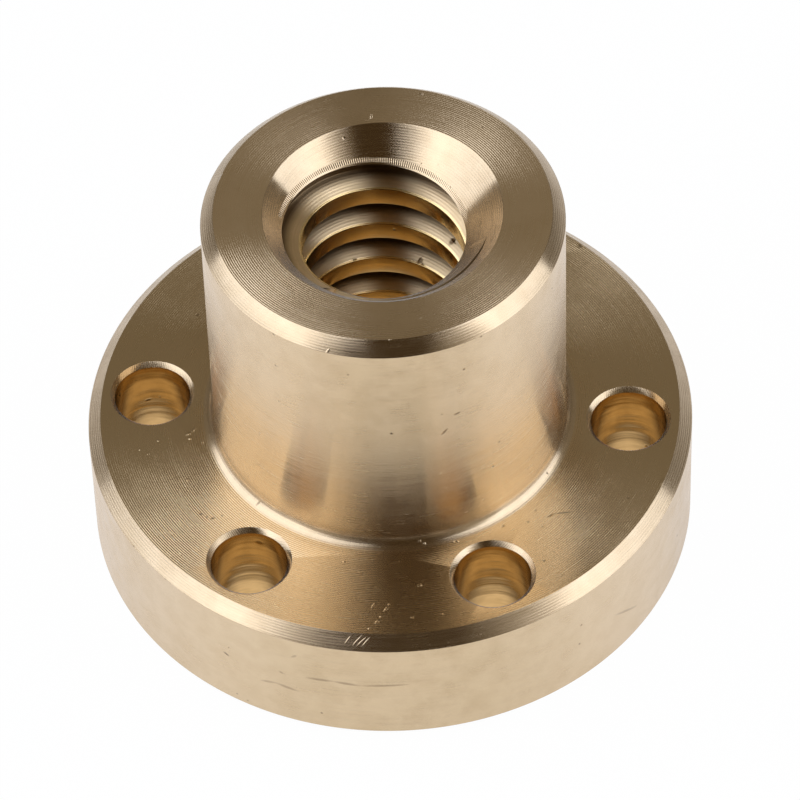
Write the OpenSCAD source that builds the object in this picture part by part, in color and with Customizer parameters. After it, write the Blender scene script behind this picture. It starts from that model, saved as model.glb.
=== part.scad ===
// Flanged lead screw nut: a turned bronze barrel on a round bolting flange,
// bored and cut with a right-hand trapezoidal thread, countersunk at both mouths.
// The nut stands on its flange face at z = 0 with the thread axis along +Z.

/* [Barrel] */

// Outside diameter of the barrel
barrel_d = 28; // [22:0.5:31]

// Overall length from the flange face to the nose
nut_length = 35; // [26:1:46]

// Chamfer round the nose
nose_chamfer = 1; // [0.2:0.1:2]

// Fillet between the barrel and the flange
fillet_r = 1; // [0.3:0.1:1.3]

/* [Flange] */

// Outside diameter of the flange
flange_d = 48; // [45:0.5:60]

// Thickness of the flange
flange_t = 12; // [5:0.5:18]

// Chamfer on both edges of the flange rim
rim_chamfer = 1; // [0.2:0.1:1.4]

/* [Bolt holes] */

// Number of bolt holes
bolt_count = 6; // [3:1:6]

// Diameter of each bolt hole
bolt_hole_d = 6; // [4:0.1:6.6]

// Deburring chamfer at both ends of a bolt hole
bolt_hole_chamfer = 0.35; // [0.1:0.05:0.45]

/* [Thread] */

// Axial distance from one groove to the next
pitch = 4; // [3:0.25:5]

// Diameter at which groove and ridge are equally wide
pitch_d = 14; // [13.6:0.1:14.4]

// Bore diameter, over the crests of the ridge
minor_d = 12.7; // [12:0.1:13]

// Diameter at the bottom of the groove
major_d = 16.3; // [16.2:0.1:17]

// Angle of each flank from the plane across the axis
flank_angle = 15; // [12:1:18]

// Direction in which the groove leaves the flange face, in degrees from +X
groove_start = 123; // [0:1:359]

// Diameter of the 45 degree countersink at each mouth
countersink_d = 18.5; // [17.5:0.1:20]

/* [Smoothness] */

// Straight steps of the groove in one turn
groove_steps = 36; // [24:4:48]

/* [Hidden] */

turned_fn = 96;
drilled_fn = 48;
over = 1; // how far a cut runs past the surface it opens
bolt_circle_d = (barrel_d + flange_d)/2; // midway between the barrel and the rim
mouth_depth = (countersink_d - minor_d)/2;
groove_turns = nut_length/pitch + 2;

// Half the axial width of the groove at a distance r from the axis
function groove_half(r) = pitch/4 - (r - pitch_d/2)*tan(flank_angle);

// The groove's trapezoidal section as [radius, height] corners
function groove_section() =
    let (inner = minor_d/2 - over/2, outer = major_d/2)
    [[inner, -groove_half(inner)], [outer, -groove_half(outer)],
     [outer, groove_half(outer)], [inner, groove_half(inner)]];

// One corner of the section carried round the axis to angle a from the start
function on_helix(corner, a) =
    [corner[0]*cos(groove_start + a), corner[0]*sin(groove_start + a), corner[1] + pitch*(a/360 - 1)];

// Right-hand groove swept from one pitch below the flange face to one above the nose
module thread_groove() {
    section = groove_section();
    sides = len(section);
    last = ceil(groove_turns*groove_steps);
    points = [for (i = [0:last]) for (corner = section) on_helix(corner, 360*i/groove_steps)];
    start_cap = [for (k = [sides - 1:-1:0]) k];
    end_cap = [for (k = [0:sides - 1]) sides*last + k];
    walls = [for (i = [0:last - 1]) for (k = [0:sides - 1])
        let (a = sides*i + k, b = sides*i + (k + 1)%sides)
        each [[a, b, a + sides], [b, b + sides, a + sides]]];
    polyhedron(points, concat([start_cap, end_cap], walls), convexity = 20);
}

// Outer half section of the turned blank, chamfered and filleted
module blank_section() {
    polygon([[0, 0], [flange_d/2 - rim_chamfer, 0], [flange_d/2, rim_chamfer],
        [flange_d/2, flange_t - rim_chamfer], [flange_d/2 - rim_chamfer, flange_t],
        [barrel_d/2, flange_t], [barrel_d/2, nut_length - nose_chamfer],
        [barrel_d/2 - nose_chamfer, nut_length], [0, nut_length]]);
    difference() {
        translate([barrel_d/2 - over, flange_t - over]) square(fillet_r + over);
        translate([barrel_d/2 + fillet_r, flange_t + fillet_r]) circle(fillet_r, $fn = turned_fn);
    }
}

// Half section of the bore with a countersunk mouth at each end
module bore_section() {
    wide = countersink_d/2 + over;
    polygon([[0, -over], [wide, -over], [minor_d/2, mouth_depth],
        [minor_d/2, nut_length - mouth_depth], [wide, nut_length + over], [0, nut_length + over]]);
}

// Through hole with its edges broken at both faces of the flange
module bolt_hole() {
    r = bolt_hole_d/2;
    wide = r + bolt_hole_chamfer + over;
    rotate_extrude($fn = drilled_fn)
        polygon([[0, -over], [wide, -over], [r, bolt_hole_chamfer],
            [r, flange_t - bolt_hole_chamfer], [wide, flange_t + over], [0, flange_t + over]]);
}

module nut() {
    color("#c8ac84")
    difference() {
        rotate_extrude($fn = turned_fn) difference() {
            blank_section();
            bore_section();
        }
        thread_groove();
        for (i = [0:bolt_count - 1])
            rotate(360*i/bolt_count) translate([bolt_circle_d/2, 0, 0]) bolt_hole();
    }
}

nut();
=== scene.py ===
"""Flanged bronze lead screw nut: the fine mesh, its turned-bronze materials, light and camera."""
import math
import bmesh
import bpy
from mathutils import Matrix, Vector


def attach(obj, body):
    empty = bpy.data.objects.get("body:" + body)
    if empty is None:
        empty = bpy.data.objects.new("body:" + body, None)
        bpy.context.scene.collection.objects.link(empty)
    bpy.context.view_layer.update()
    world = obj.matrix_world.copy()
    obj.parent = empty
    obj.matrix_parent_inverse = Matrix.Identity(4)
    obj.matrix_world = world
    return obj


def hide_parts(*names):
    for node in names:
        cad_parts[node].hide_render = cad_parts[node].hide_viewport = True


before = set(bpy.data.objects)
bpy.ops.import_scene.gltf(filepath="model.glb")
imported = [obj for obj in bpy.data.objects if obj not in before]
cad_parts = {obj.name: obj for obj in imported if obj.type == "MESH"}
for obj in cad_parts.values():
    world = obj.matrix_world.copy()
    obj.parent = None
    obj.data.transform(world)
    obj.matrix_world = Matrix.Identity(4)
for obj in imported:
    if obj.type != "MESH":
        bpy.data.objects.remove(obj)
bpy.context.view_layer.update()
MM = 0.001

# ---------------------------------------------------------------- sizes, mm, as in the CAD model
BARREL_D, NUT_LENGTH, NOSE_CHAMFER, FILLET_R = 28.0, 35.0, 1.0, 1.0
FLANGE_D, FLANGE_T, RIM_CHAMFER = 48.0, 12.0, 1.0
BOLT_COUNT, BOLT_HOLE_D, BOLT_HOLE_CHAMFER = 6, 6.0, 0.35
BOLT_CIRCLE_D = (BARREL_D + FLANGE_D) / 2
PITCH, PITCH_D, MINOR_D, MAJOR_D = 4.0, 14.0, 12.7, 16.3
FLANK_ANGLE, GROOVE_START, COUNTERSINK_D = 15.0, 123.0, 18.5

# ---------------------------------------------------------------- fineness
COLUMNS = 360               # steps round the axis, a whole number for each bolt hole
EDGE_R = 0.07               # rounding of a turned edge
DRILLED_EDGE_R = 0.04       # rounding at a bolt hole's edges
CREST_R, ROOT_R = 0.06, 0.12    # roundings of the thread's ridges and of its grooves' corners
EDGE_STEPS, DRILLED_STEPS = 3, 2
LAND_STEPS = 16             # steps across the ring of flange that holds the bolt holes
RIM_STEPS, BARREL_STEPS, HOLE_STEPS = 6, 12, 6      # steps along the straight walls
FILLET_STEP = 6             # degrees
CUT_STEPS = 40              # halvings that find where the thread runs out through a countersink
WELD = 1e-8                 # metres
FLAT_SLOPE, STEEP_SLOPE = 0.2, 0.4      # a profile's slopes up to which it counts as a face or as a wall
SHARP_ANGLE, FLAT_WEIGHT = 30, 60       # shading: degrees from which an edge is sharp; pull of the flat faces

FACE, CONE, WALL, HOLE, THREAD = range(5)     # the mesh's material slots


def polar(r, deg, z=0.0):
    a = math.radians(deg)
    return (r * math.cos(a), r * math.sin(a), z)


def arc_points(corner, before, after, radius, steps):
    """The corner between two neighbours, rounded to an arc that touches both sides."""
    c, b, a = Vector(corner), Vector(before), Vector(after)
    u, v = (b - c).normalized(), (a - c).normalized()
    half = u.angle(v) / 2
    reach = radius / math.tan(half)
    centre = c + (u + v).normalized() * radius / math.sin(half)
    p, q = c + u * reach - centre, c + v * reach - centre
    turn = p.angle_signed(q)
    return [tuple(centre + Matrix.Rotation(-turn * i / steps, 2) @ p) for i in range(steps + 1)]


# ---------------------------------------------------------------- mesh builder
class Builder:
    def __init__(self):
        self.verts, self.faces, self.slots = [], [], []

    def vert(self, p):
        self.verts.append(tuple(x * MM for x in p))
        return len(self.verts) - 1

    def face(self, ids, slot):
        ids = [v for i, v in enumerate(ids) if v != ids[i - 1]]
        if len(ids) > 2:
            self.faces.append(ids)
            self.slots.append(slot)

    def ring(self, r, z):
        return [self.vert(polar(r, 360 * i / COLUMNS, z)) for i in range(COLUMNS)]

    def strip(self, low, high, slot):
        n = len(low)
        for i in range(n):
            j = (i + 1) % n
            self.face([low[i], low[j], high[j], high[i]], slot)

    def mesh(self, name):
        me = bpy.data.meshes.new(name)
        me.from_pydata(self.verts, [], self.faces)
        me.polygons.foreach_set("material_index", self.slots)
        me.polygons.foreach_set("use_smooth", [True] * len(self.faces))
        me.update()
        return me


build = Builder()

# ---------------------------------------------------------------- outer surface
barrel_r, flange_r, mouth_r = BARREL_D / 2, FLANGE_D / 2, COUNTERSINK_D / 2
CLEAR_IN, CLEAR_OUT = 0.05, 0.1         # from the land to the fillet and to the rim's chamfer
land_in, land_out = barrel_r + FILLET_R + CLEAR_IN, flange_r - RIM_CHAMFER - CLEAR_OUT
on_cone = 0.2               # the outer surface takes over from the bore this far down each cone
face_rings, nose_ring = (11.0, 13.0), 11.2      # extra rings on the flat faces


def under_side():
    """From the lower cone to the land that holds the holes."""
    edge = arc_points((mouth_r, 0), (mouth_r - 1, 1), (land_in, 0), EDGE_R, EDGE_STEPS)
    return [(mouth_r - on_cone, on_cone)] + edge + [(r, 0) for r in face_rings] + [(land_in, 0)]


def rim_side():
    """From the land below, round the rim, to the land above."""
    a, b, c, d = ((flange_r - RIM_CHAMFER, 0), (flange_r, RIM_CHAMFER),
                  (flange_r, FLANGE_T - RIM_CHAMFER), (flange_r - RIM_CHAMFER, FLANGE_T))
    tall = FLANGE_T - 2 * RIM_CHAMFER
    wall = [(flange_r, RIM_CHAMFER + tall * k / RIM_STEPS) for k in range(1, RIM_STEPS)]
    return ([(land_out, 0)]
            + arc_points(a, (land_out, 0), b, EDGE_R, EDGE_STEPS)
            + arc_points(b, a, c, EDGE_R, EDGE_STEPS)
            + wall
            + arc_points(c, b, d, EDGE_R, EDGE_STEPS)
            + arc_points(d, c, (land_out, FLANGE_T), EDGE_R, EDGE_STEPS)
            + [(land_out, FLANGE_T)])


def barrel_side():
    """From the land above, over the fillet and the nose, to the upper cone."""
    fillet = [(barrel_r + FILLET_R * (1 - math.sin(math.radians(a))),
               FLANGE_T + FILLET_R * (1 - math.cos(math.radians(a)))) for a in range(0, 91, FILLET_STEP)]
    top = NUT_LENGTH - NOSE_CHAMFER
    low = FLANGE_T + FILLET_R
    wall = [(barrel_r, low + (top - low) * k / BARREL_STEPS) for k in range(1, BARREL_STEPS)]
    b, c, d = (barrel_r, top), (barrel_r - NOSE_CHAMFER, NUT_LENGTH), (mouth_r, NUT_LENGTH)
    return ([(land_in, FLANGE_T)] + fillet + wall + arc_points(b, (barrel_r, low), c, EDGE_R, EDGE_STEPS)
            + arc_points(c, b, d, EDGE_R, EDGE_STEPS) + [(nose_ring, NUT_LENGTH)]
            + arc_points(d, c, (mouth_r - 1, NUT_LENGTH - 1), EDGE_R, EDGE_STEPS)
            + [(mouth_r - on_cone, NUT_LENGTH - on_cone)])


def slot_of(p, q):
    """The finish of the surface between two points of a turned profile."""
    across, along = abs(p[0] - q[0]), abs(p[1] - q[1])
    return FACE if along < FLAT_SLOPE * across else WALL if across < STEEP_SLOPE * along else CONE


def lathe(profile):
    rings = [build.ring(*p) for p in profile]
    for (p, q), (low, high) in zip(zip(profile, profile[1:]), zip(rings, rings[1:])):
        build.strip(low, high, slot_of(p, q))
    return rings


under, rim, upper = lathe(under_side()), lathe(rim_side()), lathe(barrel_side())

# ---------------------------------------------------------------- the land with its bolt holes
span = COLUMNS // BOLT_COUNT


def land_sides(z):
    """Points down each radial line between two holes."""
    radii = [land_in + (land_out - land_in) * m / LAND_STEPS for m in range(1, LAND_STEPS)]
    return [[build.vert(polar(r, 360 * (k + 0.5) / BOLT_COUNT, z)) for r in radii] for k in range(BOLT_COUNT)]


def land_loop(inner, outer, sides, k):
    """The closed loop of vertices round hole k's share of the land."""
    first = k * span - span // 2
    cols = [(first + i) % COLUMNS for i in range(span + 1)]
    return ([outer[c] for c in cols] + sides[k][::-1] + [inner[c] for c in cols[::-1]]
            + sides[(k - 1) % BOLT_COUNT])


def hole_profile():
    """Radius and height down a hole, from the upper face to the lower."""
    r, c = BOLT_HOLE_D / 2, BOLT_HOLE_CHAMFER
    wide, deep = (r + c, FLANGE_T), (r, FLANGE_T - c)
    upper_part = (arc_points(wide, (r + 1, FLANGE_T), deep, DRILLED_EDGE_R, DRILLED_STEPS)
                  + arc_points(deep, wide, (r, 1), DRILLED_EDGE_R, DRILLED_STEPS))
    wall = [(r, FLANGE_T - c + (2 * c - FLANGE_T) * m / HOLE_STEPS) for m in range(1, HOLE_STEPS)]
    return upper_part + wall + [(p, FLANGE_T - q) for p, q in upper_part[::-1]]


sides_low, sides_high = land_sides(0.0), land_sides(FLANGE_T)
for k in range(BOLT_COUNT):
    low = land_loop(under[-1], rim[0], sides_low, k)
    high = land_loop(upper[0], rim[-1], sides_high, k)
    cx, cy, _ = polar(BOLT_CIRCLE_D / 2, 360 * k / BOLT_COUNT)
    around = [math.atan2(build.verts[v][1] / MM - cy, build.verts[v][0] / MM - cx) for v in high]
    profile = hole_profile()
    rings = [[build.vert((cx + r * math.cos(a), cy + r * math.sin(a), z)) for a in around]
             for r, z in profile]
    build.strip(high, rings[0], FACE)
    for (p, q), (a, b) in zip(zip(profile, profile[1:]), zip(rings, rings[1:])):
        build.strip(a, b, CONE if abs(p[0] - q[0]) > 1e-6 else HOLE)
    build.strip(rings[-1], low, FACE)

# ---------------------------------------------------------------- bore and thread


def groove_half(r):
    return PITCH / 4 - (r - PITCH_D / 2) * math.tan(math.radians(FLANK_ANGLE))


def groove_outline():
    """Height and radius across one groove, about its middle, with its corners rounded."""
    inner, outer = MINOR_D / 2, MAJOR_D / 2
    wi, wo = groove_half(inner), groove_half(outer)
    corners = [(-wi - 1, inner), (-wi, inner), (-wo, outer), (wo, outer), (wi, inner), (wi + 1, inner)]
    points = []
    for i in range(1, 5):
        radius = CREST_R if i in (1, 4) else ROOT_R
        points += arc_points(corners[i], corners[i - 1], corners[i + 1], radius, EDGE_STEPS)
    return points


def cone(z):
    """Radius of the nearer countersink, run on along its cone, at height z."""
    return max(mouth_r - (NUT_LENGTH - z), mouth_r - z)


OUTLINE = groove_outline()
GROOVE_LOW, GROOVE_TURNS = -2.0, 12     # where the groove is followed from, and for how many turns


def bore_column(c):
    """The bore's wall at column c, from cone to cone: (label, (r, z)) pairs with z rising.

    Points of two columns that carry the same label are joined. "g" is a point of the groove's
    outline; "in" and "out" are where the wall comes out of a countersink and runs into one,
    and "V" is either of them on a ridge's crest.
    """
    deg = 360 * c / COLUMNS
    turn = (deg - GROOVE_START) / 360
    first = math.floor(GROOVE_LOW / PITCH - turn)
    wall = [(("g", k, j), (r, PITCH * (turn + k) + dz)) for k in range(first, first + GROOVE_TURNS)
            for j, (dz, r) in enumerate(OUTLINE)]
    column = []
    for (la, (ra, za)), (lb, (rb, zb)) in zip(wall, wall[1:]):
        above_a, above_b = ra - cone(za), rb - cone(zb)
        if above_a > 0:
            column.append((la, (ra, za)))
        if (above_a > 0) != (above_b > 0):
            lo, hi = 0.0, 1.0
            for _ in range(CUT_STEPS):
                mid = (lo + hi) / 2
                value = ra + (rb - ra) * mid - cone(za + (zb - za) * mid)
                if (value > 0) == (above_a > 0):
                    lo = mid
                else:
                    hi = mid
            t = (lo + hi) / 2
            crest = la[1] != lb[1]
            kind = "V" if crest else ("out" if above_a > 0 else "in")
            column.append(((kind, lb[1] if kind != "out" else la[1], za > NUT_LENGTH / 2),
                           (ra + (rb - ra) * t, za + (zb - za) * t)))
    return column


def zip_chains(a, b):
    """Triangles and quads between two chains of (label, vertex) that share most labels."""
    known = {label: j for j, (label, _) in enumerate(b)}
    pairs, last = [], -1
    for i, (label, _) in enumerate(a):
        j = known.get(label, -1)
        if j > last:
            pairs.append((i, j))
            last = j
    pairs = [(0, 0)] + [p for p in pairs if 0 < p[0] < len(a) - 1 and 0 < p[1] < len(b) - 1]
    pairs.append((len(a) - 1, len(b) - 1))
    for (i, j), (i_end, j_end) in zip(pairs, pairs[1:]):
        if i_end == i + 1 and j_end == j + 1:
            yield [a[i][1], b[j][1], b[j_end][1], a[i_end][1]], a[i][0]
            continue
        while i < i_end or j < j_end:
            step_a = i < i_end and (j == j_end or height(a[i + 1][1]) <= height(b[j + 1][1]))
            if step_a:
                yield [a[i][1], b[j][1], a[i + 1][1]], a[i][0]
                i += 1
            else:
                yield [a[i][1], b[j][1], b[j + 1][1]], b[j][0]
                j += 1


def height(v):
    return build.verts[v][2]


columns = []
for c in range(COLUMNS):
    chain = [(label, build.vert(polar(r, 360 * c / COLUMNS, z))) for label, (r, z) in bore_column(c)]
    columns.append([(("low",), under[0][c])] + chain + [(("high",), upper[-1][c])])
for c in range(COLUMNS):
    here, there = columns[c], columns[(c + 1) % COLUMNS]
    if c == COLUMNS - 1:
        there = [((label[0], label[1] - 1) + label[2:] if len(label) > 1 else label, v) for label, v in there]
    for ids, label in zip_chains(here, there):
        build.face(ids, THREAD if label[0] in ("g", "in") else CONE)

# ---------------------------------------------------------------- the piece
mesh = build.mesh("nut_metal")
nut = bpy.data.objects.new("nut_metal", mesh)
bpy.context.scene.collection.objects.link(nut)
bm = bmesh.new()
bm.from_mesh(mesh)
bmesh.ops.remove_doubles(bm, verts=bm.verts, dist=WELD)
bmesh.ops.dissolve_degenerate(bm, edges=bm.edges, dist=WELD)
bmesh.ops.recalc_face_normals(bm, faces=bm.faces)
bm.to_mesh(mesh)
bm.free()
mesh.set_sharp_from_angle(angle=math.radians(SHARP_ANGLE))
flat = nut.modifiers.new("flat_faces", "WEIGHTED_NORMAL")
flat.keep_sharp = True
flat.weight = FLAT_WEIGHT


# ---------------------------------------------------------------- materials
def node(tree, kind, **settings):
    n = tree.nodes.new(kind)
    for key, value in settings.items():
        setattr(n, key, value)
    return n


def math_node(tree, op, a, b=None, clamp=False):
    n = node(tree, "ShaderNodeMath", operation=op, use_clamp=clamp)
    for i, value in enumerate((a, b)):
        if value is None:
            continue
        if isinstance(value, (int, float)):
            n.inputs[i].default_value = value
        else:
            tree.links.new(value, n.inputs[i])
    return n.outputs[0]


def noise(tree, vector, scale, detail=2.0, roughness=0.5):
    n = node(tree, "ShaderNodeTexNoise")
    n.inputs["Scale"].default_value = scale
    n.inputs["Detail"].default_value = detail
    n.inputs["Roughness"].default_value = roughness
    tree.links.new(vector, n.inputs["Vector"])
    return n.outputs["Fac"]


def remap(tree, value, a, b, c, d):
    """value carried from the range a to b onto c to d, and held at its ends."""
    n = node(tree, "ShaderNodeMapRange")
    for i, x in enumerate((a, b, c, d)):
        n.inputs[i + 1].default_value = x
    tree.links.new(value, n.inputs[0])
    return n.outputs[0]


def vector_node(tree, op, a, b=None, scale=None):
    n = node(tree, "ShaderNodeVectorMath", operation=op)
    for i, value in enumerate((a, b)):
        if value is None:
            continue
        if isinstance(value, tuple):
            n.inputs[i].default_value = value
        else:
            tree.links.new(value, n.inputs[i])
    if scale is not None:
        n.inputs["Scale"].default_value = scale
    return n


def mixed(tree, factor, a, b):
    """A colour between a and b, each a colour or a socket."""
    n = node(tree, "ShaderNodeMix", data_type="RGBA")
    tree.links.new(factor, n.inputs["Factor"])
    for key, value in (("A", a), ("B", b)):
        if isinstance(value, tuple):
            n.inputs[key].default_value = (*value, 1)
        else:
            tree.links.new(value, n.inputs[key])
    return n.outputs["Result"]


def pits(tree, vector, scale, share, radius):
    """Sparse round pits, 1 in the middle. share is the part of the cells that has one."""
    cell = node(tree, "ShaderNodeTexVoronoi", feature="F1")
    cell.inputs["Scale"].default_value = scale
    tree.links.new(vector, cell.inputs["Vector"])
    chosen = node(tree, "ShaderNodeSeparateColor")
    tree.links.new(cell.outputs["Color"], chosen.inputs[0])
    keep = math_node(tree, "LESS_THAN", chosen.outputs[0], share)
    size = remap(tree, chosen.outputs[1], 0.0, 1.0, 0.5 * radius, radius)
    away = math_node(tree, "DIVIDE", cell.outputs["Distance"], size)
    inside = math_node(tree, "SUBTRACT", 1.0, away, clamp=True)
    return math_node(tree, "MULTIPLY", inside, keep)


def worn(tree, vector, first, last, width):
    """A dot, or a streak from first to last: 1 in its middle and 0 at its edge."""
    p = Vector(polar(first[1], first[0], first[2]))
    if last is None:
        away = vector_node(tree, "DISTANCE", vector, tuple(p)).outputs["Value"]
        return remap(tree, away, 0.2 * width, width, 1.0, 0.0)
    q = Vector(polar(last[1], last[0], last[2]))
    place = node(tree, "ShaderNodeMapping", vector_type="TEXTURE")
    place.inputs["Location"].default_value = (p + q) / 2
    place.inputs["Rotation"].default_value = (q - p).to_track_quat("X", "Z").to_euler()
    place.inputs["Scale"].default_value = ((q - p).length / 2 + width, width, width)
    tree.links.new(vector, place.inputs["Vector"])
    away = vector_node(tree, "LENGTH", place.outputs[0]).outputs["Value"]
    return remap(tree, away, 0.4, 1.0, 1.0, 0.0)


def added(tree, mark, share, total):
    """total + mark x share."""
    n = node(tree, "ShaderNodeMath", operation="MULTIPLY_ADD")
    tree.links.new(mark, n.inputs[0])
    n.inputs[1].default_value = share
    tree.links.new(total, n.inputs[2])
    return n.outputs[0]


def chatter(tree, xyz, radius, total, grime_and_shade):
    """The torn edge between the upper countersink and the groove: fine ticks across it."""
    turn = math_node(tree, "ARCTAN2", xyz.outputs[1], xyz.outputs[0])
    edge = math_node(tree, "ADD", math_node(tree, "MULTIPLY", turn, CHATTER_RISE), CHATTER_R)
    off = math_node(tree, "ABSOLUTE", math_node(tree, "SUBTRACT", radius, edge))
    band = remap(tree, off, CHATTER_WIDTH, CHATTER_WIDTH * 0.6, 0.0, 1.0)
    upper = math_node(tree, "GREATER_THAN", xyz.outputs[2], NUT_LENGTH / 2)
    torn = math_node(tree, "MULTIPLY", upper, remap(tree, turn, *CHATTER_TURN, CHATTER_LEAST, 1.0))
    wave = math_node(tree, "SINE", math_node(tree, "MULTIPLY", turn, CHATTER_TICKS))
    ticks = math_node(tree, "MULTIPLY", wave, math_node(tree, "MULTIPLY", band, torn))
    total = added(tree, ticks, CHATTER_HEIGHT, total)
    return total, math_node(tree, "MAXIMUM", grime_and_shade, remap(tree, ticks, -1.0, 1.0, -0.3, CHATTER_GRIME))


# what the finishes share; lengths in mm, scales in features for each mm
LINE_STRETCH = 0.22                 # how slowly the marks change along the cut
PATCH_SCALE, GRAIN_SCALE, WANDER_SCALE = 0.45, 9.0, 0.12
GRAIN_HEIGHT = 0.0012
DEEP_FEED = 0.003                   # a feed deeper than this wanders
SPECK_SCALE, SPECK_SHARE, SPECK_R, SPECK_DEPTH = 0.55, 0.14, 0.12, 0.03
SPECK_GRIME, SPECK_ROUGHNESS = 0.6, 0.3
SHEEN_WEIGHT, SHEEN_ROUGHNESS, SHEEN_TINT = 0.38, 0.4, (1.0, 0.92, 0.8)     # on the cones
LINE_ROUGHNESS, PATCH_ROUGHNESS = 0.03, (-0.02, 0.03)                       # added to a finish's own
GROOVE_SHADE_R, GROOVE_SHADE = (7.1, 7.8), 0.85                             # painted shade deep in the groove, under the crests
FLANK_R, FLANK_ROUGHNESS = (6.4, 6.6), 0.18                                 # the thread, off its crests
FLANGE_FADE_Z = (FLANGE_T, 20.0)                                            # flange's tone to nose's


def bare_metal(tree, slot, anisotropic):
    """The shader, with brushing round the axis and the cones' sheen."""
    out = node(tree, "ShaderNodeOutputMaterial")
    bsdf = node(tree, "ShaderNodeBsdfPrincipled")
    tree.links.new(bsdf.outputs[0], out.inputs[0])
    bsdf.inputs["Metallic"].default_value = 1.0
    bsdf.inputs["Anisotropic"].default_value = anisotropic
    bsdf.inputs["Anisotropic Rotation"].default_value = 0.25        # the long side lies across the rings
    if slot == CONE:
        bsdf.inputs["Sheen Weight"].default_value = SHEEN_WEIGHT
        bsdf.inputs["Sheen Roughness"].default_value = SHEEN_ROUGHNESS
        bsdf.inputs["Sheen Tint"].default_value = (*SHEEN_TINT, 1)
    if anisotropic > 0:
        tangent = node(tree, "ShaderNodeTangent", direction_type="RADIAL", axis="Z")
        tree.links.new(tangent.outputs[0], bsdf.inputs["Tangent"])
    return bsdf


def tool_feed(tree, mm, step, tool_pitch, tool_depth):
    """The tool's even ripple; a deep one wanders from place to place."""
    feed = math_node(tree, "SINE", math_node(tree, "MULTIPLY", step, 2 * math.pi / tool_pitch))
    if tool_depth > DEEP_FEED:
        wander = noise(tree, mm, WANDER_SCALE, 1.0)
        feed = math_node(tree, "MULTIPLY", feed, remap(tree, wander, 0.35, 0.65, 0.45, 1.0))
    return feed


def stained(tree, slot, step, z, lines, patches, stain, base):
    """The base colour with its tarnish, in patches and along the lines."""
    shade = OLIVE if slot in (HOLE, THREAD) else TARNISH
    if slot == FACE:
        base = mixed(tree, remap(tree, z, *FLANGE_FADE_Z, 1.0, 0.0), base, FLANGE_BRONZE)
    if slot == THREAD:
        base = mixed(tree, remap(tree, step, *FLANK_R, 0.0, 1.0), base, FLANK_BRONZE)
    colour = mixed(tree, remap(tree, patches, 0.4, 0.75, 0.0, 0.2 + 0.5 * stain), base, shade)
    return mixed(tree, remap(tree, lines, 0.5, 0.2, 0.0, stain), colour, shade)


def bronze(slot, name, rings, roughness, anisotropic, tool_pitch, tool_depth, line_pitch, line_depth,
           stain, base):
    """Machined bronze for one slot. Lengths in mm; rings is the coordinate that the tool steps along."""
    mat = bpy.data.materials.new(name)
    mat.use_nodes = True
    tree = mat.node_tree
    tree.nodes.clear()
    bsdf = bare_metal(tree, slot, anisotropic)
    coord = node(tree, "ShaderNodeTexCoord")
    mm = vector_node(tree, "SCALE", coord.outputs["Object"], scale=1 / MM).outputs[0]
    level = vector_node(tree, "MULTIPLY", mm, (1.0, 1.0, 0.0)).outputs[0]
    xyz = node(tree, "ShaderNodeSeparateXYZ")
    tree.links.new(mm, xyz.inputs[0])
    step = vector_node(tree, "LENGTH", level).outputs["Value"] if rings == "r" else xyz.outputs[2]

    # marks that run along the cut: slow changes along it, quick ones across it
    across = node(tree, "ShaderNodeCombineXYZ")
    tree.links.new(math_node(tree, "DIVIDE", step, line_pitch), across.inputs[2])
    along = vector_node(tree, "SCALE", level, scale=LINE_STRETCH).outputs[0]
    lines = noise(tree, vector_node(tree, "ADD", along, across.outputs[0]).outputs[0], 1.0, 1.0, 0.6)
    patches = noise(tree, mm, PATCH_SCALE, 3.0, 0.6)
    grain = noise(tree, mm, GRAIN_SCALE, 2.0, 0.6)

    # height, and dirt with the painted shade deep in the groove
    feed = tool_feed(tree, mm, step, tool_pitch, tool_depth)
    specks = pits(tree, mm, SPECK_SCALE, SPECK_SHARE, SPECK_R)
    total = added(tree, lines, line_depth, math_node(tree, "MULTIPLY", feed, tool_depth))
    total = added(tree, grain, GRAIN_HEIGHT, added(tree, specks, -SPECK_DEPTH, total))
    grime_and_shade = math_node(tree, "MULTIPLY", specks, SPECK_GRIME)
    for first, last, width, rise, dirt in WEAR[slot]:
        mark = worn(tree, mm, first, last, width)
        total = added(tree, mark, rise, total)
        if dirt:
            grime_and_shade = added(tree, mark, dirt, grime_and_shade)
    if slot == CONE:
        total, grime_and_shade = chatter(tree, xyz, step, total, grime_and_shade)
    if slot == THREAD:
        # painted shade: the thread darkens towards the groove's root, where the crest above shades it
        grime_and_shade = math_node(tree, "MAXIMUM", remap(tree, step, *GROOVE_SHADE_R, 0.0, GROOVE_SHADE), grime_and_shade)
    bump = node(tree, "ShaderNodeBump")
    bump.inputs["Strength"].default_value = 1.0
    bump.inputs["Distance"].default_value = MM
    tree.links.new(total, bump.inputs["Height"])
    tree.links.new(bump.outputs[0], bsdf.inputs["Normal"])

    # roughness
    streaked = remap(tree, lines, 0.3, 0.7, roughness - LINE_ROUGHNESS, roughness + LINE_ROUGHNESS)
    rough = math_node(tree, "ADD", streaked, remap(tree, patches, 0.3, 0.7, *PATCH_ROUGHNESS))
    if slot == THREAD:
        rough = math_node(tree, "ADD", rough, remap(tree, step, *FLANK_R, 0.0, FLANK_ROUGHNESS))
    rough = math_node(tree, "ADD", rough, math_node(tree, "MULTIPLY", specks, SPECK_ROUGHNESS))
    tree.links.new(rough, bsdf.inputs["Roughness"])

    colour = stained(tree, slot, step, xyz.outputs[2], lines, patches, stain, base)
    colour = mixed(tree, grime_and_shade, colour, DIRT_AND_SHADE)
    tree.links.new(colour, bsdf.inputs["Base Color"])
    return mat


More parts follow.
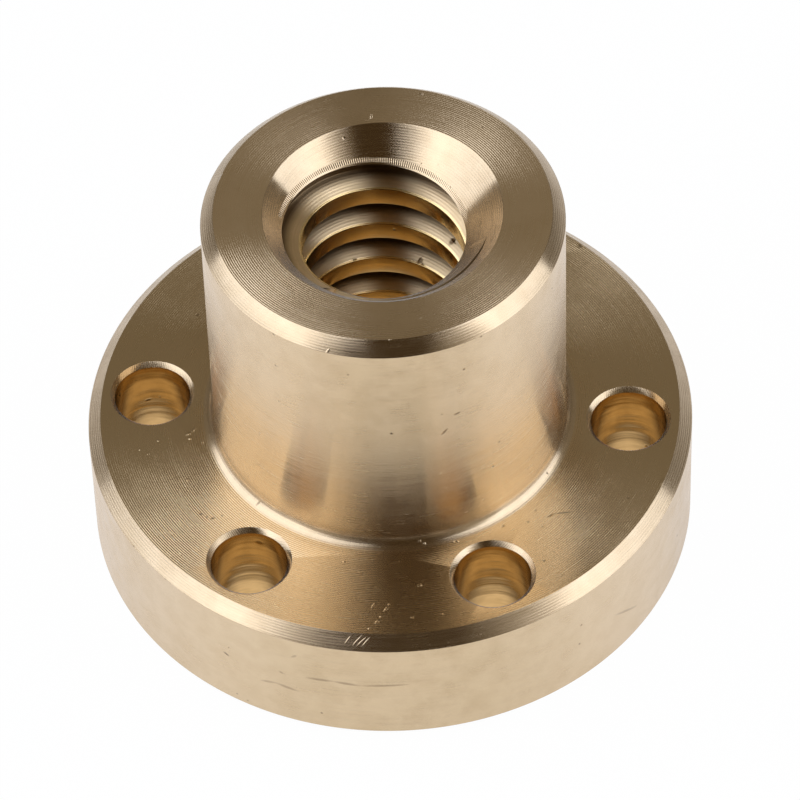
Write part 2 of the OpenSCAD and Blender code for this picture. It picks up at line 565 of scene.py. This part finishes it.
# the torn edge of the groove in the upper countersink: radius at angle 0, rise for each radian,
# half its width, ticks for each radian, their height and how dark they are; they grow
# from their least share to the whole over the radians of CHATTER_TURN
CHATTER_R, CHATTER_RISE, CHATTER_WIDTH, CHATTER_TICKS = 6.36, 0.504, 0.17, 270
CHATTER_HEIGHT, CHATTER_GRIME = 0.007, 0.75
CHATTER_TURN, CHATTER_LEAST = (0.3, 1.0), 0.3

# wear: (first point, last point, width, height, dirt), and None for the last point of a dot;
# a point is (angle, radius, z), and the dirt is how dark the mark is. Unlike the rest of this
# file, this list wasn't written by hand: a scratch script worked the places out from the photograph.
WEAR = {
    FACE: [
        ((-16.7, 22.9, 12), (-15.1, 23, 12), 0.22, 0.029, 0),
        ((-166.3, 15.9, 12), (-167.5, 15.5, 12), 0.14, 0.019, 0),
        ((-165.5, 16.3, 12), (-166, 15.9, 12), 0.13, 0.019, 0), ((-164, 16.1, 12), None, 0.17, 0.024, 0),
        ((-164.9, 18.6, 12), None, 0.14, 0.019, 0), ((-161.4, 19.6, 12), None, 0.13, 0.014, 0),
        ((-163.1, 20.2, 12), None, 0.13, 0.014, 0), ((-150.2, 17.5, 12), None, 0.18, 0.014, 0),
        ((-161.7, 15.2, 12), None, 0.13, 0.014, 0), ((-77.6, 18.4, 12), None, 0.19, 0.024, 0),
        ((-80.2, 21.5, 12), None, 0.14, 0.019, 0), ((-74.1, 21.5, 12), None, 0.13, 0.014, 0),
        ((-85.9, 20.7, 12), (-85.3, 20.4, 12), 0.13, 0.019, 0), ((-86.7, 21.3, 12), None, 0.13, 0.019, 0),
        ((-87.6, 21.9, 12), (-87.2, 21.7, 12), 0.13, 0.019, 0), ((-85, 20.1, 12), None, 0.11, 0.019, 0),
        ((-88.9, 22.5, 12), None, 0.11, 0.019, 0), ((-81.9, 15.9, 12), None, 0.13, 0.014, 0),
        ((-97.5, 16.2, 12), None, 0.13, 0.014, 0), ((-88.7, 20.4, 12), (-88.1, 20, 12), 0.1, 0.014, 0),
        ((-65.4, 14.8, 12), None, 0.14, 0.024, 0), ((-64.1, 14.9, 12), None, 0.13, 0.024, 0),
        ((-138.9, 18.3, 12), None, 0.17, -0.018, 0.49), ((-135, 17.1, 12), None, 0.13, -0.013, 0.39),
        ((-135.9, 17.8, 12), None, 0.17, -0.018, 0.49), ((-137.1, 18.1, 12), None, 0.11, -0.013, 0.39),
        ((-49.6, 15.3, 12), None, 0.15, -0.018, 0.49), ((-43, 16.2, 12), None, 0.13, -0.013, 0.49),
        ((-41.3, 17.3, 12), None, 0.13, -0.013, 0.39), ((-47.9, 20, 12), None, 0.15, -0.018, 0.49),
        ((-38.6, 15.8, 12), None, 0.15, -0.013, 0.39),
        ((-38.4, 16.9, 12), (-36.1, 17.1, 12), 0.11, -0.013, 0.59),
        ((-36.1, 17.1, 12), (-32.7, 18.1, 12), 0.1, -0.013, 0.49), ((-20.1, 19.2, 12), None, 0.13, 0.014, 0),
        ((-22.6, 21.1, 12), None, 0.14, -0.018, 0.49), ((25.5, 17.7, 12), (19.4, 17.6, 12), 0.07, 0.007, 0),
        ((19.4, 17.6, 12), (12.3, 17.7, 12), 0.07, 0.007, 0), ((52.3, 22.8, 12), None, 0.28, -0.022, 0.59),
        ((-108.7, 21.8, 12), (-107.9, 21.9, 12), 0.11, 0.014, 0),
        ((100.5, 9.7, 35), (99.8, 10.2, 35), 0.11, 0.019, 0), ((53.1, 11.6, 35), None, 0.14, -0.013, 0.39),
        ((-72, 11.4, 35), (-69.5, 11.2, 35), 0.07, 0.01, 0),
        ((103.1, 9.5, 35), (101.7, 9.7, 35), 0.11, 0.014, 0),
    ],
    CONE: [
        ((-121.9, 23.9, 11.1), (-120.8, 23.9, 11.1), 0.15, -0.009, 0.25),
        ((-102.4, 14, 34), (-101.8, 13.8, 34.2), 0.11, 0.019, 0), ((-82.3, 13, 35), None, 0.13, 0.019, 0),
        ((169.7, 13, 35), (165.2, 12.7, 35), 0.26, 0.08, 0), ((-141.6, 24, 11), None, 0.13, -0.022, 0.68),
        ((-91.8, 23.7, 11.3), (-90.1, 23.1, 11.9), 0.08, 0.014, 0),
        ((-91, 23.7, 11.3), (-89.3, 23.2, 11.8), 0.08, 0.014, 0),
        ((-90, 23.7, 11.3), (-88.6, 23.2, 11.8), 0.08, 0.014, 0),
        ((-93.2, 23.6, 11.4), (-92.3, 23.2, 11.8), 0.08, 0.014, 0),
        ((-75.5, 14.3, 12.3), None, 0.15, 0.024, 0),
        ((-74.1, 14.5, 12.2), None, 0.13, 0.024, 0),
        ((-130.9, 14.5, 12.1), (-130.6, 14.2, 12.4), 0.13, -0.022, 0.59),
        ((-25.4, 14.4, 12.2), None, 0.13, -0.018, 0.49), ((115.3, 8.7, 34.5), None, 0.14, -0.022, 0.85),
        ((46.8, 6.9, 32.6), None, 0.11, -0.018, 0.68), ((71, 7.3, 33), None, 0.09, -0.013, 0.49),
        ((60.9, 7.6, 33.3), None, 0.09, -0.013, 0.49),
    ],
    WALL: [
        ((-59.2, 14, 31), None, 0.14, -0.022, 0.78), ((-83, 14, 25.2), None, 0.15, -0.022, 0.78),
        ((-46.8, 14, 20.5), None, 0.13, -0.022, 0.78), ((-95.8, 14, 31.9), None, 0.11, -0.013, 0.49),
        ((-66.9, 14, 26.6), None, 0.1, -0.013, 0.49), ((-136.8, 14, 13.9), None, 0.11, -0.013, 0.49),
        ((-57.9, 14, 14.6), None, 0.09, -0.013, 0.49), ((-18.4, 14, 32.1), None, 0.12, -0.018, 0.68),
        ((-38.2, 14, 26.6), None, 0.09, -0.013, 0.39),
        ((-62.7, 14, 26.1), (-61, 14, 26.2), 0.12, -0.022, 0.59),
        ((-67.1, 14, 24.2), (-65.3, 14, 24.7), 0.14, -0.022, 0.59), ((-73.5, 14, 29.4), None, 0.18, 0.014, 0),
        ((-76.1, 14, 14.4), None, 0.13, 0.014, 0), ((-84.3, 14, 13.2), None, 0.13, 0.014, 0),
        ((-117.5, 14, 26.2), None, 0.13, 0.014, 0), ((-72.8, 14, 15.7), (-67.4, 14, 15.5), 0.08, 0.01, 0),
        ((-67.4, 14, 15.5), (-63.1, 14, 14.3), 0.08, 0.01, 0),
        ((-117.8, 24, 6.4), (-116.8, 24, 6.2), 0.12, -0.022, 0.68),
        ((-98.2, 24, 2.6), None, 0.13, -0.022, 0.68),
        ((-115.5, 24, 1.7), None, 0.11, -0.018, 0.59), ((-113.2, 24, 1.4), None, 0.11, -0.018, 0.59),
        ((-109.9, 24, 4.8), (-107, 24, 5.1), 0.18, -0.009, 0.29),
        ((-107, 24, 5.1), (-102.5, 24, 4.8), 0.2, -0.009, 0.34),
        ((-100.8, 24, 6.8), (-95.7, 24, 6.9), 0.19, -0.009, 0.39),
        ((-95.7, 24, 6.9), (-90.7, 24, 6.7), 0.19, -0.009, 0.39),
        ((-90.7, 24, 6.7), (-81.4, 24, 6.9), 0.18, -0.009, 0.44), ((-154, 24, 3.9), None, 0.11, -0.013, 0.39),
        ((-14.2, 24, 4.9), None, 0.14, -0.022, 0.78), ((-47.2, 24, 5.3), None, 0.13, -0.022, 0.68),
        ((-38.1, 24, 5.6), (-31.3, 24, 4), 0.17, -0.009, 0.29),
        ((-106, 24, 6.7), (-105.4, 24, 6.6), 0.15, -0.009, 0.29),
        ((-103.4, 24, 9), (-102.6, 24, 9.3), 0.15, -0.009, 0.25), ((-53.5, 14, 34), None, 0.13, 0.019, 0),
        ((-52.9, 14, 33.9), None, 0.13, -0.018, 0.59), ((-58.8, 14, 34), None, 0.11, -0.018, 0.49),
        ((-131.7, 24, 11), None, 0.14, -0.022, 0.68), ((-97, 24, 10.9), (-96.1, 23.8, 11.2), 0.09, 0.014, 0),
        ((-59, 24, 10.9), None, 0.13, 0.019, 0),
    ],
    HOLE: [
        ((172.1, 20.3, 7.7), (171.6, 19.9, 7.8), 0.17, -0.018, 0.83),
        ((171, 19.2, 8), None, 0.13, -0.013, 0.68),
        ((-124.5, 16.3, 10.7), (-123.5, 16.2, 10.6), 0.28, -0.013, 0.59),
    ],
    THREAD: [
        ((47, 6.8, 26.1), (47.9, 7.4, 26.3), 0.22, -0.027, 0.78),
        ((44.1, 7.1, 26.1), (49, 7.2, 26.2), 0.13, -0.022, 0.68),
        ((72.1, 6.5, 22.3), (71.4, 6.9, 22.4), 0.2, -0.027, 0.78),
        ((68.8, 6.5, 22.3), None, 0.17, -0.022, 0.68),
        ((117.8, 6.5, 22.8), None, 0.18, -0.022, 0.59), ((119.7, 6.3, 22.7), None, 0.13, -0.018, 0.49),
    ],
}

BRONZE = (0.735, 0.567, 0.365)
DARK_BRONZE = (0.74, 0.57, 0.32)        # in the bolt holes
THREAD_BRONZE = (0.86, 0.63, 0.29)      # on the crests
FLANK_BRONZE = (0.755, 0.57, 0.34)      # on the rest of the thread
FLANGE_BRONZE = (0.595, 0.447, 0.262)   # on the flange's faces
TARNISH = (0.60, 0.43, 0.235)         # stains outside, and in the holes and the thread
OLIVE = (0.48, 0.345, 0.165)
# dark colour of dirt in pits and marks, and of the painted shade deep in the groove
DIRT_AND_SHADE = (0.09, 0.05, 0.02)
finishes = [
    bronze(FACE, "bronze_faced", "r", roughness=0.245, anisotropic=0.92, tool_pitch=0.175, tool_depth=0.009,
           line_pitch=0.12, line_depth=0.0018, stain=0.2, base=BRONZE),
    bronze(CONE, "bronze_coned", "r", roughness=0.235, anisotropic=0.92, tool_pitch=0.15, tool_depth=0.0017,
           line_pitch=0.1, line_depth=0.0025, stain=0.2, base=BRONZE),
    bronze(WALL, "bronze_turned", "z", roughness=0.23, anisotropic=1.0, tool_pitch=0.2, tool_depth=0.0006,
           line_pitch=0.12, line_depth=0.0025, stain=0.2, base=BRONZE),
    bronze(HOLE, "bronze_drilled", "z", roughness=0.15, anisotropic=0.0, tool_pitch=1.1, tool_depth=0.0028,
           line_pitch=0.4, line_depth=0.014, stain=0.75, base=DARK_BRONZE),
    bronze(THREAD, "bronze_threaded", "r", roughness=0.17, anisotropic=0.9, tool_pitch=0.25, tool_depth=0.003,
           line_pitch=0.14, line_depth=0.008, stain=0.3, base=THREAD_BRONZE),
]
for finish in finishes:
    nut.data.materials.append(finish)

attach(nut, "root")
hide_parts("nut")


# ---------------------------------------------------------------- camera
MIDDLE = (0, 0, 19)          # where the lights aim


def at(azimuth, elevation, distance, centre=MIDDLE):
    """A point in mm seen from centre at these angles."""
    a, e = math.radians(azimuth), math.radians(elevation)
    aim = Vector((math.cos(e) * math.cos(a), math.cos(e) * math.sin(a), math.sin(e)))
    return Vector(centre) + distance * aim


def look(obj, eye, target, roll=0.0):
    """Places obj at eye, looking at target, both in mm."""
    forward = (target - eye).normalized()
    turn = forward.to_track_quat("-Z", "Y").to_matrix().to_4x4() @ Matrix.Rotation(math.radians(roll), 4, "Z")
    obj.matrix_world = Matrix.Translation(eye * MM) @ turn


FRONT = -83.2                # azimuth of the camera; the lights are measured from it
CAMERA_ELEVATION, CAMERA_DISTANCE, CAMERA_ROLL = 49.14, 454.6, -2.03
CAMERA_TARGET = (1.18, -3.01, 16.34)
LENS, SENSOR = 260.65, 36.0
CLIP_NEAR, CLIP_FAR = 0.05, 20.0        # metres

camera = bpy.data.objects.new("camera", bpy.data.cameras.new("camera"))
bpy.context.scene.collection.objects.link(camera)
camera.data.lens = LENS
camera.data.sensor_width = SENSOR
camera.data.clip_start, camera.data.clip_end = CLIP_NEAR, CLIP_FAR
look(camera, at(FRONT, CAMERA_ELEVATION, CAMERA_DISTANCE), Vector(CAMERA_TARGET), roll=CAMERA_ROLL)
bpy.context.scene.camera = camera


# ---------------------------------------------------------------- light
def softbox(name, azimuth, elevation, width, height):
    """A rectangular area lamp that faces the nut."""
    lamp = bpy.data.lights.new(name, "AREA")
    lamp.shape = "RECTANGLE"
    lamp.size, lamp.size_y = width * MM, height * MM
    lamp.energy = BOX_RADIANCE * math.pi * lamp.size * lamp.size_y
    lamp.color = COOL
    obj = bpy.data.objects.new(name, lamp)
    bpy.context.scene.collection.objects.link(obj)
    look(obj, at(FRONT + azimuth, elevation, BOX_DISTANCE), Vector(MIDDLE))
    obj.visible_camera = False


def toward(azimuth, elevation):
    """The direction at these angles from the camera's azimuth."""
    return tuple(at(FRONT + azimuth, elevation, 1, (0, 0, 0)))


def product(tree, a, b):
    return math_node(tree, "MULTIPLY", a, b)


COOL = (0.88, 0.97, 1.17)
BOX_DISTANCE, BOX_RADIANCE = 500, 1.98
softbox("left_box", azimuth=-81.5, elevation=44, width=670, height=640)
softbox("right_box", azimuth=80.5, elevation=38, width=435, height=590)

ROOM_BACK = (0.25, 0.22, 0.175)
ROOM_LOW = (0.11, 0.09, 0.06)
ROOM_FRONT = (0.065, 0.042, 0.016)
ROOM_SIDE = (0.55, 0.5, 0.42)
HORIZON = (1.0, 1.0, 1.0)
HORIZON_TOP, HORIZON_SHARE = 0.1, 0.45      # the paper goes on past the floor: its height and strength
FRONT_ELEVATION = 42                        # middle of the dark front
# where each part of the room fades in, as the cosine of an angle or as a height
FRONT_FADE, SIDE_FADE, SIDE_FRONT_FADE, LOW_FADE = (0.3, 0.85), (0.3, 0.75), (0.3, 0.7), (0.1, 0.5)

# the room that the metal reflects: dim and warm, darkest behind the camera, lighter at its two sides
world = bpy.data.worlds.new("studio")
bpy.context.scene.world = world
world.use_nodes = True
wt = world.node_tree
wt.nodes.clear()
w_out = node(wt, "ShaderNodeOutputWorld")
direction = node(wt, "ShaderNodeTexCoord").outputs["Generated"]
w_xyz = node(wt, "ShaderNodeSeparateXYZ")
wt.links.new(direction, w_xyz.inputs[0])
w_high = w_xyz.outputs[2]
w_front = vector_node(wt, "DOT_PRODUCT", direction, toward(0, FRONT_ELEVATION)).outputs["Value"]
w_side = vector_node(wt, "DOT_PRODUCT", direction, toward(90, 0)).outputs["Value"]
front = remap(wt, w_front, *FRONT_FADE, 0.0, 1.0)
beside = product(wt, remap(wt, math_node(wt, "ABSOLUTE", w_side), *SIDE_FADE, 0.0, 1.0),
                 remap(wt, w_front, *SIDE_FRONT_FADE, 0.0, 1.0))
low_glow = product(wt, remap(wt, w_high, 0.0, HORIZON_TOP, HORIZON_SHARE, 0.0),
                   math_node(wt, "SUBTRACT", 1.0, front))
room_colour = mixed(wt, remap(wt, w_high, *LOW_FADE, 1.0, 0.0), ROOM_BACK, ROOM_LOW)
room_colour = mixed(wt, front, room_colour, ROOM_FRONT)
room_colour = mixed(wt, beside, room_colour, ROOM_SIDE)
room_colour = mixed(wt, low_glow, room_colour, HORIZON)
room = node(wt, "ShaderNodeBackground")
wt.links.new(room_colour, room.inputs["Color"])
white = node(wt, "ShaderNodeBackground")
white.inputs["Strength"].default_value = 1.0
path = node(wt, "ShaderNodeLightPath")
pick = node(wt, "ShaderNodeMixShader")
wt.links.new(path.outputs["Is Camera Ray"], pick.inputs[0])
wt.links.new(room.outputs[0], pick.inputs[1])
wt.links.new(white.outputs[0], pick.inputs[2])
wt.links.new(pick.outputs[0], w_out.inputs[0])


# ---------------------------------------------------------------- floor
FLOOR_HALF, FLOOR_DROP = 3.0, 0.00002       # metres; the drop keeps it clear of the flange
PAPER = 0.86
CAMERA_SHARE = 0.985                        # of plain white; the rest keeps the nut's shadow
FLOOR_FRONT = (0.97, 0.97, 0.97)            # as the metal sees it, in front of the nut and at its sides
FLOOR_SIDE = (1.05, 1.08, 1.18)
FLOOR_UNDER = (1.0, 0.83, 0.64)             # painted light, as the metal sees the paper down the bore and the bronze holes
UNDER_DIM, BORE_GLOW, HOLE_GLOW = 0.12, 1.0, 0.9
BORE_SPOT, HOLE_SPOT = (0.003, 0.0065), (0.0014, 0.003)         # radii over which the two glows fade
NEAR_RIM, NEAR_GLOW, OPEN_GLOW = (0.024, 0.042), 0.74, 0.97     # from the rim out to the open floor
FAR_FADE, FAR_GLOW = (0.08, 0.18), 0.35
SIDE_TONE_FADE = (0.3, 0.9)

# white paper that keeps a faint shadow; the metal sees painted light on it under the bore and the holes,
# a painted shadow close to the rim, and a fade far away
corners = [(-FLOOR_HALF, -FLOOR_HALF, 0), (FLOOR_HALF, -FLOOR_HALF, 0),
           (FLOOR_HALF, FLOOR_HALF, 0), (-FLOOR_HALF, FLOOR_HALF, 0)]
floor_mesh = bpy.data.meshes.new("floor")
floor_mesh.from_pydata(corners, [], [(0, 1, 2, 3)])
floor = bpy.data.objects.new("floor", floor_mesh)
bpy.context.scene.collection.objects.link(floor)
floor.location.z = -FLOOR_DROP
paper = bpy.data.materials.new("paper")
paper.use_nodes = True
pt = paper.node_tree
pt.nodes.clear()
p_out = node(pt, "ShaderNodeOutputMaterial")
diffuse = node(pt, "ShaderNodeBsdfDiffuse")
diffuse.inputs["Color"].default_value = (PAPER, PAPER, PAPER, 1)
glow = node(pt, "ShaderNodeEmission")
p_path = node(pt, "ShaderNodeLightPath")
p_mix = node(pt, "ShaderNodeMixShader")
p_place = node(pt, "ShaderNodeTexCoord").outputs["Object"]
p_away = vector_node(pt, "LENGTH", p_place).outputs["Value"]
p_facing = vector_node(pt, "NORMALIZE", p_place).outputs[0]
p_side = math_node(pt, "ABSOLUTE", vector_node(pt, "DOT_PRODUCT", p_facing, toward(90, 0)).outputs["Value"])
under = math_node(pt, "LESS_THAN", p_away, flange_r * MM)
beyond = product(pt, remap(pt, p_away, *NEAR_RIM, NEAR_GLOW, OPEN_GLOW),
                 remap(pt, p_away, *FAR_FADE, 1.0, FAR_GLOW))
inner = remap(pt, p_away, *BORE_SPOT, BORE_GLOW, UNDER_DIM)
for k in range(BOLT_COUNT):
    centre = polar(BOLT_CIRCLE_D / 2 * MM, 360 * k / BOLT_COUNT)
    from_hole = vector_node(pt, "DISTANCE", p_place, centre).outputs["Value"]
    inner = math_node(pt, "MAXIMUM", inner, remap(pt, from_hole, *HOLE_SPOT, HOLE_GLOW, UNDER_DIM))
lit = math_node(pt, "ADD", product(pt, under, inner),
                product(pt, math_node(pt, "SUBTRACT", 1.0, under), beyond))
share = math_node(pt, "ADD", product(pt, p_path.outputs["Is Camera Ray"], CAMERA_SHARE),
                  product(pt, p_path.outputs["Is Glossy Ray"], lit), clamp=True)
p_tone = mixed(pt, remap(pt, p_side, *SIDE_TONE_FADE, 0.0, 1.0), FLOOR_FRONT, FLOOR_SIDE)
p_tone = mixed(pt, under, p_tone, FLOOR_UNDER)
pt.links.new(mixed(pt, p_path.outputs["Is Camera Ray"], p_tone, (1.0, 1.0, 1.0)), glow.inputs["Color"])
pt.links.new(share, p_mix.inputs[0])
pt.links.new(diffuse.outputs[0], p_mix.inputs[1])
pt.links.new(glow.outputs[0], p_mix.inputs[2])
pt.links.new(p_mix.outputs[0], p_out.inputs[0])
floor.data.materials.append(paper)

bpy.context.scene.view_settings.view_transform = "Standard"
